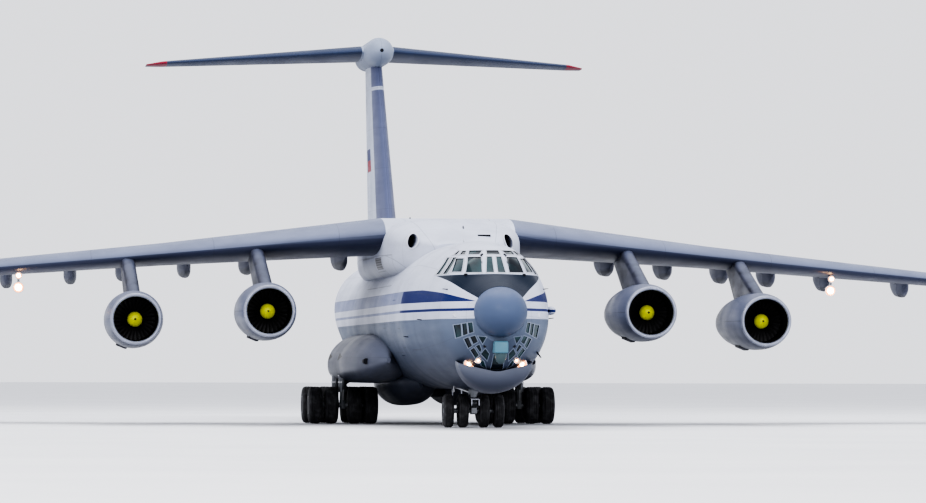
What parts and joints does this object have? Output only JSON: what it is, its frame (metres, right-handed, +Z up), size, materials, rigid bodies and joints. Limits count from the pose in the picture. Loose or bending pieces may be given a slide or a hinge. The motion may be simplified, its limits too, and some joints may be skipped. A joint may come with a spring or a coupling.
{
  "type": "military transport plane, 1:2 scale model",
  "caption": "High-wing jet transport plane on its gear at 1:2 scale, T-tail, engines on pylons, glazed nose, hollow hold with rear ramp and doors, swivelling nose gear, flaps and rudder",
  "frame": {"origin": "on the ground, under the middle of the plane's length and span", "axes": "X along the span with the plane's left wing towards +X, Y along the fuselage with the nose towards -Y, Z up"},
  "size_m": [25.25, 23.295, 7.38],
  "materials": {
    "white_paint": "gloss off-white paint",
    "grey_paint": "satin light blue-grey paint",
    "radome": "satin grey-blue radome",
    "bare_metal": "bare sheet metal",
    "gear_metal": "worn satin metal",
    "fan_metal": "dark metal blades behind a yellow spinner",
    "tyre": "black rubber",
    "glass": "dark tinted glass",
    "cabin": "matt blue-green cabin paint"
  },
  "bodies": {
    "airframe": {"nose_section": "white_paint", "nose_radome": "radome", "chin_radome": "grey_paint", "flight_deck_glazing": "glass", "navigator_glazing": "glass", "flight_deck": "cabin", "hold_section": "white_paint", "tail_section": "white_paint", "wing_fairing": "white_paint", "belly_blisters": "grey_paint", "fin": "white_paint", "tailplane": "grey_paint", "nose_leg": "gear_metal", "wing_left": "grey_paint", "sponson_left": "grey_paint", "nacelle_inner_left": "bare_metal", "pylon_inner_left": "grey_paint", "nacelle_outer_left": "bare_metal", "pylon_outer_left": "grey_paint", "main_leg_front_left": "gear_metal", "main_leg_rear_left": "gear_metal", "wing_right": "grey_paint", "sponson_right": "grey_paint", "nacelle_inner_right": "bare_metal", "pylon_inner_right": "grey_paint", "nacelle_outer_right": "bare_metal", "pylon_outer_right": "grey_paint", "main_leg_front_right": "gear_metal", "main_leg_rear_right": "gear_metal"},
    "nose_steering": {"nose_steering": "gear_metal"},
    "nose_wheels_left": {"nose_wheels_left": "tyre"},
    "nose_wheels_right": {"nose_wheels_right": "tyre"},
    "main_wheels_front_left_outboard": {"main_wheels_front_left_outboard": "tyre"},
    "main_wheels_front_left_inboard": {"main_wheels_front_left_inboard": "tyre"},
    "main_wheels_rear_left_outboard": {"main_wheels_rear_left_outboard": "tyre"},
    "main_wheels_rear_left_inboard": {"main_wheels_rear_left_inboard": "tyre"},
    "main_wheels_front_right_outboard": {"main_wheels_front_right_outboard": "tyre"},
    "main_wheels_front_right_inboard": {"main_wheels_front_right_inboard": "tyre"},
    "main_wheels_rear_right_outboard": {"main_wheels_rear_right_outboard": "tyre"},
    "main_wheels_rear_right_inboard": {"main_wheels_rear_right_inboard": "tyre"},
    "fan_inner_left": {"fan_inner_left": "fan_metal"},
    "fan_outer_left": {"fan_outer_left": "fan_metal"},
    "fan_inner_right": {"fan_inner_right": "fan_metal"},
    "fan_outer_right": {"fan_outer_right": "fan_metal"},
    "cargo_ramp": {"cargo_ramp": "grey_paint"},
    "cargo_middle_door": {"cargo_middle_door": "grey_paint"},
    "cargo_side_door_left": {"cargo_side_door_left": "grey_paint"},
    "cargo_side_door_right": {"cargo_side_door_right": "grey_paint"},
    "entry_door_left": {"entry_door_left": "white_paint"},
    "entry_door_right": {"entry_door_right": "white_paint"},
    "flap_inner_left": {"flap_inner_left": "grey_paint"},
    "flap_outer_left": {"flap_outer_left": "grey_paint"},
    "flap_inner_right": {"flap_inner_right": "grey_paint"},
    "flap_outer_right": {"flap_outer_right": "grey_paint"},
    "aileron_left": {"aileron_left": "grey_paint"},
    "aileron_right": {"aileron_right": "grey_paint"},
    "elevator_left": {"elevator_left": "grey_paint"},
    "elevator_right": {"elevator_right": "grey_paint"},
    "rudder": {"rudder": "white_paint"}
  },
  "joints": [
    {"name": "nose_steer", "type": "hinge", "parent": "airframe", "child": "nose_steering", "pos_m": [0, -7.4725, 0.3], "axis": [0, 0, 1], "range_deg": [-50, 50]},
    {"name": "nose_wheel_spin_left", "type": "hinge", "parent": "nose_steering", "child": "nose_wheels_left", "pos_m": [0, -7.4725, 0.275], "axis": [1, 0, 0], "continuous": true},
    {"name": "nose_wheel_spin_right", "type": "hinge", "parent": "nose_steering", "child": "nose_wheels_right", "pos_m": [0, -7.4725, 0.275], "axis": [1, 0, 0], "continuous": true},
    {"name": "main_wheel_spin_front_left_outboard", "type": "hinge", "parent": "airframe", "child": "main_wheels_front_left_outboard", "pos_m": [1.55, -1.1975, 0.325], "axis": [1, 0, 0], "continuous": true},
    {"name": "main_wheel_spin_front_left_inboard", "type": "hinge", "parent": "airframe", "child": "main_wheels_front_left_inboard", "pos_m": [1.55, -1.1975, 0.325], "axis": [1, 0, 0], "continuous": true},
    {"name": "main_wheel_spin_rear_left_outboard", "type": "hinge", "parent": "airframe", "child": "main_wheels_rear_left_outboard", "pos_m": [1.55, 0.1275, 0.325], "axis": [1, 0, 0], "continuous": true},
    {"name": "main_wheel_spin_rear_left_inboard", "type": "hinge", "parent": "airframe", "child": "main_wheels_rear_left_inboard", "pos_m": [1.55, 0.1275, 0.325], "axis": [1, 0, 0], "continuous": true},
    {"name": "main_wheel_spin_front_right_outboard", "type": "hinge", "parent": "airframe", "child": "main_wheels_front_right_outboard", "pos_m": [-1.55, -1.1975, 0.325], "axis": [1, 0, 0], "continuous": true},
    {"name": "main_wheel_spin_front_right_inboard", "type": "hinge", "parent": "airframe", "child": "main_wheels_front_right_inboard", "pos_m": [-1.55, -1.1975, 0.325], "axis": [1, 0, 0], "continuous": true},
    {"name": "main_wheel_spin_rear_right_outboard", "type": "hinge", "parent": "airframe", "child": "main_wheels_rear_right_outboard", "pos_m": [-1.55, 0.1275, 0.325], "axis": [1, 0, 0], "continuous": true},
    {"name": "main_wheel_spin_rear_right_inboard", "type": "hinge", "parent": "airframe", "child": "main_wheels_rear_right_inboard", "pos_m": [-1.55, 0.1275, 0.325], "axis": [1, 0, 0], "continuous": true},
    {"name": "fan_spin_inner_left", "type": "hinge", "parent": "airframe", "child": "fan_inner_left", "pos_m": [3.18, -5.2925, 1.9015], "axis": [0, 1, 0], "continuous": true},
    {"name": "fan_spin_outer_left", "type": "hinge", "parent": "airframe", "child": "fan_outer_left", "pos_m": [5.3225, -4.1475, 1.775], "axis": [0, 1, 0], "continuous": true},
    {"name": "fan_spin_inner_right", "type": "hinge", "parent": "airframe", "child": "fan_inner_right", "pos_m": [-3.18, -5.2925, 1.9015], "axis": [0, 1, 0], "continuous": true},
    {"name": "fan_spin_outer_right", "type": "hinge", "parent": "airframe", "child": "fan_outer_right", "pos_m": [-5.3225, -4.1475, 1.775], "axis": [0, 1, 0], "continuous": true},
    {"name": "ramp_lower", "type": "hinge", "parent": "airframe", "child": "cargo_ramp", "pos_m": [-0.86, 2.3525, 0.67], "axis": [-1, 0, 0], "range_deg": [0, 26.5]},
    {"name": "middle_door_raise", "type": "hinge", "parent": "airframe", "child": "cargo_middle_door", "pos_m": [-0.31, 7.5025, 1.975], "axis": [-1, 0, 0], "range_deg": [0, 26]},
    {"name": "side_door_open_left", "type": "hinge", "parent": "airframe", "child": "cargo_side_door_left", "pos_m": [1.155, 4.4625, 1.675], "axis": [0.121, -0.9812, -0.1501], "range_deg": [0, 70]},
    {"name": "side_door_open_right", "type": "hinge", "parent": "airframe", "child": "cargo_side_door_right", "pos_m": [-1.155, 4.4625, 1.675], "axis": [0.121, 0.9812, 0.1501], "range_deg": [0, 70]},
    {"name": "entry_door_open_left", "type": "hinge", "parent": "airframe", "child": "entry_door_left", "pos_m": [1.205, -6.4975, 1.175], "axis": [0, 0, -1], "range_deg": [0, 100]},
    {"name": "entry_door_open_right", "type": "hinge", "parent": "airframe", "child": "entry_door_right", "pos_m": [-1.205, -6.4975, 1.175], "axis": [0, 0, 1], "range_deg": [0, 100]},
    {"name": "flap_lower_inner_left", "type": "hinge", "parent": "airframe", "child": "flap_inner_left", "pos_m": [1.4, -0.8698, 2.6636], "axis": [-0.9804, -0.1915, 0.0468], "range_deg": [0, 43]},
    {"name": "flap_lower_outer_left", "type": "hinge", "parent": "airframe", "child": "flap_outer_left", "pos_m": [4.775, -0.20624, 2.50193], "axis": [-0.9371, -0.3446, 0.0552], "range_deg": [0, 40]},
    {"name": "flap_lower_inner_right", "type": "hinge", "parent": "airframe", "child": "flap_inner_right", "pos_m": [-1.4, -0.8698, 2.6636], "axis": [-0.9804, 0.1915, -0.0468], "range_deg": [0, 43]},
    {"name": "flap_lower_outer_right", "type": "hinge", "parent": "airframe", "child": "flap_outer_right", "pos_m": [-4.775, -0.20624, 2.50193], "axis": [-0.9371, 0.3446, -0.0552], "range_deg": [0, 40]},
    {"name": "aileron_lower_left", "type": "hinge", "parent": "airframe", "child": "aileron_left", "pos_m": [9.15, 1.62029, 2.59297], "axis": [-0.938, -0.3402, 0.0657], "range_deg": [-28, 16]},
    {"name": "aileron_lower_right", "type": "hinge", "parent": "airframe", "child": "aileron_right", "pos_m": [-9.15, 1.62029, 2.59297], "axis": [-0.938, 0.3402, -0.0657], "range_deg": [-28, 16]},
    {"name": "elevator_lower_left", "type": "hinge", "parent": "airframe", "child": "elevator_left", "pos_m": [0.4, 10.18112, 7.11987], "axis": [-0.9597, -0.2791, 0.0328], "range_deg": [-21, 15]},
    {"name": "elevator_lower_right", "type": "hinge", "parent": "airframe", "child": "elevator_right", "pos_m": [-0.4, 10.18112, 7.11987], "axis": [-0.9597, 0.2791, -0.0328], "range_deg": [-21, 15]},
    {"name": "rudder_turn", "type": "hinge", "parent": "airframe", "child": "rudder", "pos_m": [0, 8.57806, 3.175], "axis": [0, 0.3749, 0.927], "range_deg": [-28, 28]}
  ]
}
